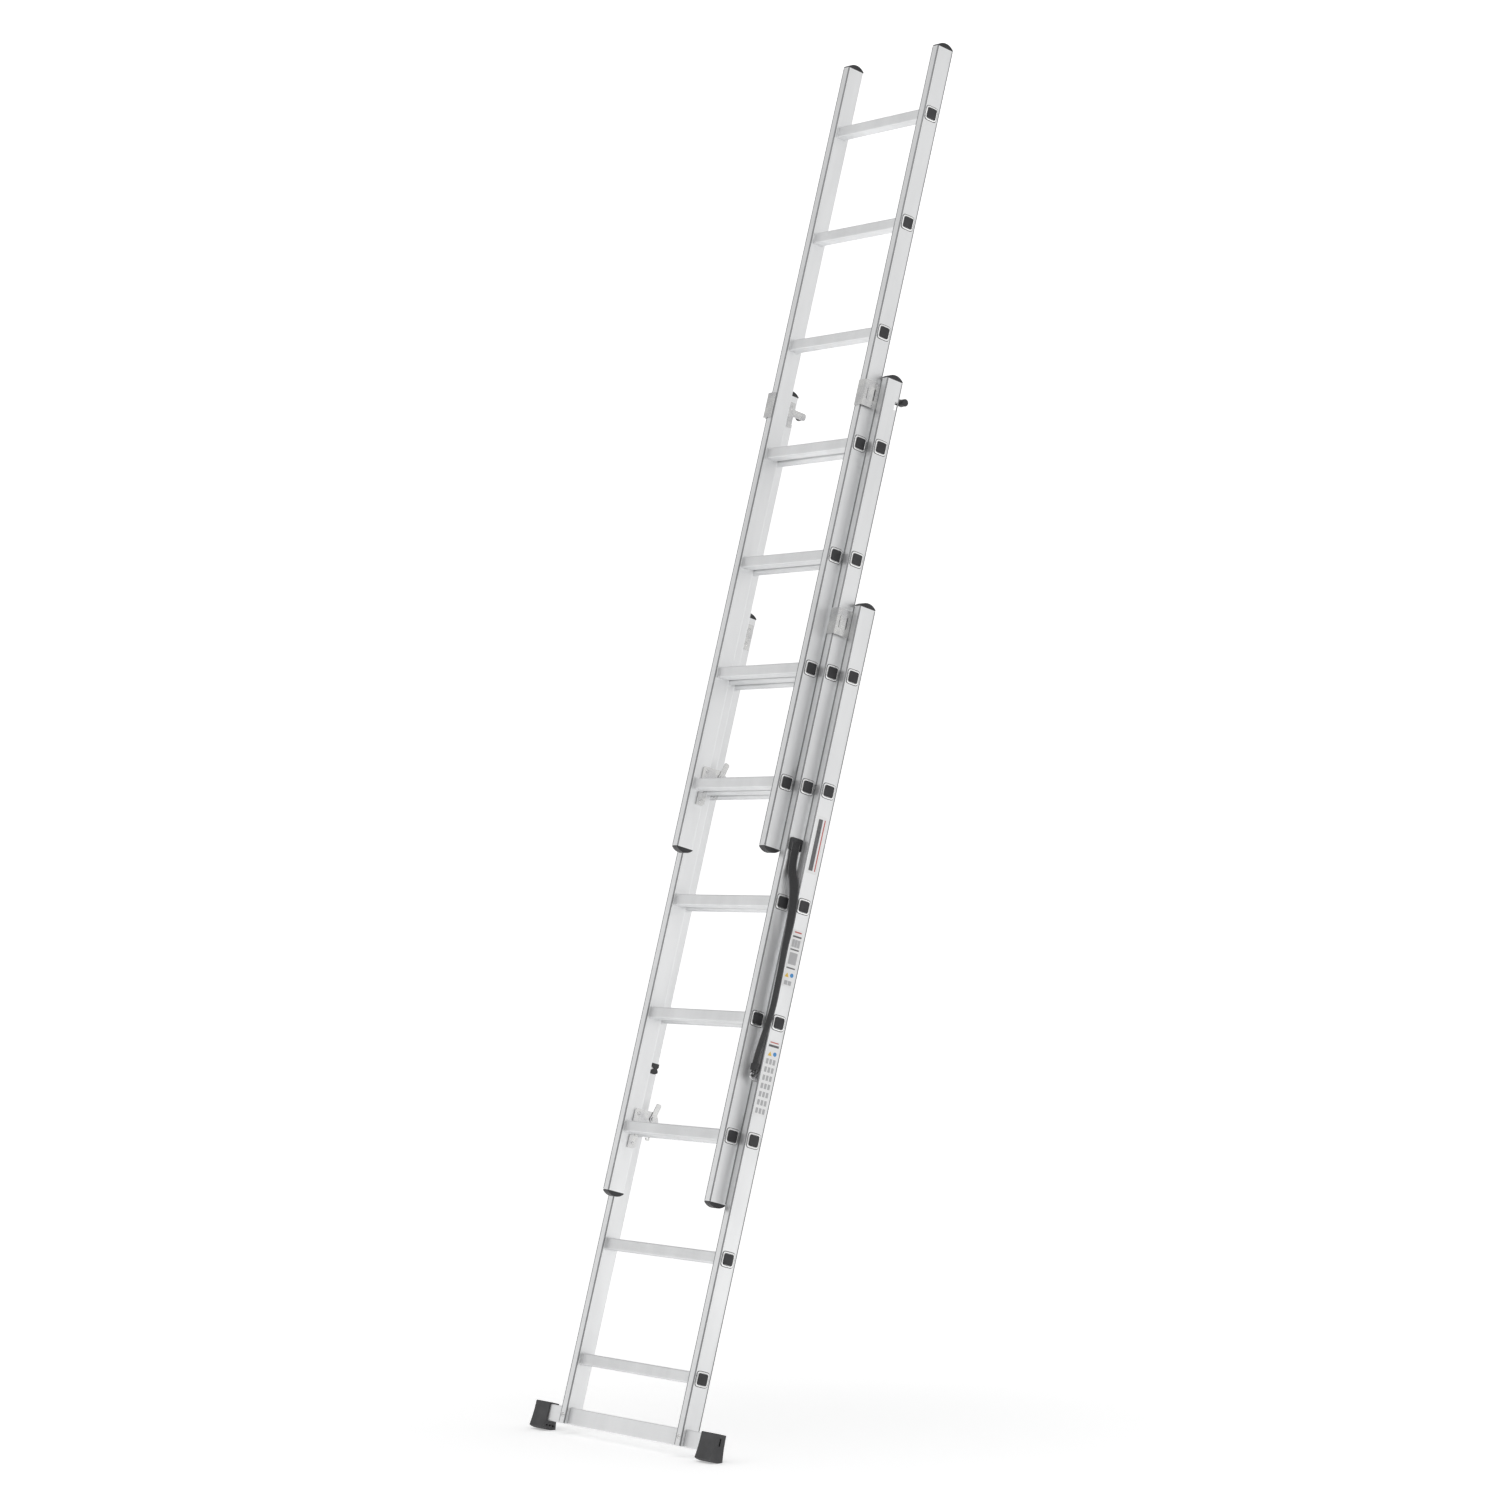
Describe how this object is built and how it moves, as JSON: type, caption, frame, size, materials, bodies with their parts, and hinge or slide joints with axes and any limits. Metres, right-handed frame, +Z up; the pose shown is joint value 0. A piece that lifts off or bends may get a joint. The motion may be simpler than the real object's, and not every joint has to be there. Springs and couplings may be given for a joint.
{
  "type": "extension ladder",
  "caption": "Aluminium extension ladder of three sliding sections with square rungs, guide brackets, catch hooks and a stabiliser bar on rubber feet, leaning at its climbing angle.",
  "frame": {"origin": "middle of the leaning ladder's bounding box on the floor; the soles stand on z = 0", "axes": "+X to the climber's right across the rungs, +Y away from the climber towards the wall, +Z up; the stiles lean 15 degrees from +Z towards +Y"},
  "size_m": [0.752, 0.8534, 3.347],
  "materials": {
    "stile_aluminium": "satin mill finish, drawn lengthwise",
    "rung_aluminium": "satin, fine lengthwise ribs on the tread",
    "bar_aluminium": "satin",
    "black_plastic": "fine moulded grain",
    "fitting_plastic": "moulded, slightly glossy",
    "foot_rubber": "matt",
    "webbing": "woven polyester",
    "zinc_steel": "bright zinc plated"
  },
  "bodies": {
    "base": {"base_end_caps": "black_plastic", "base_guide_left": "zinc_steel", "base_guide_right": "zinc_steel", "base_rivets": "zinc_steel", "base_rung_1": "rung_aluminium", "base_rung_2": "rung_aluminium", "base_rung_3": "rung_aluminium", "base_rung_4": "rung_aluminium", "base_rung_5": "rung_aluminium", "base_rung_6": "rung_aluminium", "base_rung_7": "rung_aluminium", "base_rung_plugs": "black_plastic", "base_stile_left": "stile_aluminium", "base_stile_right": "stile_aluminium", "foot_left": "foot_rubber", "foot_right": "foot_rubber", "stabiliser_bar": "bar_aluminium", "stabiliser_bolts": "zinc_steel", "stabiliser_nuts": "zinc_steel", "strap_eyes": "zinc_steel", "strap_keepers": "fitting_plastic"},
    "middle": {"middle_end_caps": "black_plastic", "middle_guide_left": "zinc_steel", "middle_guide_right": "zinc_steel", "middle_hook_left": "zinc_steel", "middle_hook_right": "zinc_steel", "middle_rivets": "zinc_steel", "middle_rung_1": "rung_aluminium", "middle_rung_2": "rung_aluminium", "middle_rung_3": "rung_aluminium", "middle_rung_4": "rung_aluminium", "middle_rung_5": "rung_aluminium", "middle_rung_6": "rung_aluminium", "middle_rung_7": "rung_aluminium", "middle_rung_plugs": "black_plastic", "middle_stile_left": "stile_aluminium", "middle_stile_right": "stile_aluminium", "rear_knobs": "fitting_plastic", "strap_anchors": "fitting_plastic", "strap_clips": "fitting_plastic", "strap_left": "webbing", "strap_right": "webbing"},
    "fly": {"fly_end_caps": "black_plastic", "fly_hook_left": "zinc_steel", "fly_hook_right": "zinc_steel", "fly_rivets": "zinc_steel", "fly_rung_1": "rung_aluminium", "fly_rung_2": "rung_aluminium", "fly_rung_3": "rung_aluminium", "fly_rung_4": "rung_aluminium", "fly_rung_5": "rung_aluminium", "fly_rung_6": "rung_aluminium", "fly_rung_7": "rung_aluminium", "fly_rung_plugs": "black_plastic", "fly_stile_left": "stile_aluminium", "fly_stile_right": "stile_aluminium"},
    "fly_catch_left": {"fly_catch_left": "zinc_steel"},
    "fly_catch_right": {"fly_catch_right": "zinc_steel"},
    "middle_catch_left": {"middle_catch_left": "zinc_steel"},
    "middle_catch_right": {"middle_catch_right": "zinc_steel"}
  },
  "joints": [
    {"name": "middle_slide", "type": "slide", "parent": "base", "child": "middle", "axis": [0, 0.2588, 0.9659], "range_m": [-0.56, 0.56], "deforming": ["strap_left", "strap_right"]},
    {"name": "fly_slide", "type": "slide", "parent": "middle", "child": "fly", "axis": [0, 0.2588, 0.9659], "range_m": [-0.84, 0.28]},
    {"name": "middle_catch_left_turn", "type": "hinge", "parent": "middle", "child": "middle_catch_left", "pos_m": [-0.19535, -0.19075, 0.74177], "axis": [1, 0, 0], "range_deg": [0, 30], "stiffness_Nm_per_rad": 0.02, "springref_deg": -20.05},
    {"name": "middle_catch_right_turn", "type": "hinge", "parent": "middle", "child": "middle_catch_right", "pos_m": [0.19535, -0.19075, 0.74177], "axis": [1, 0, 0], "range_deg": [0, 30], "stiffness_Nm_per_rad": 0.02, "springref_deg": -20.05},
    {"name": "fly_catch_left_turn", "type": "hinge", "parent": "fly", "child": "fly_catch_left", "pos_m": [-0.16435, -0.01198, 1.5635], "axis": [1, 0, 0], "range_deg": [0, 9], "stiffness_Nm_per_rad": 0.02, "springref_deg": -20.05},
    {"name": "fly_catch_right_turn", "type": "hinge", "parent": "fly", "child": "fly_catch_right", "pos_m": [0.16435, -0.01198, 1.5635], "axis": [1, 0, 0], "range_deg": [0, 9], "stiffness_Nm_per_rad": 0.02, "springref_deg": -20.05}
  ]
}
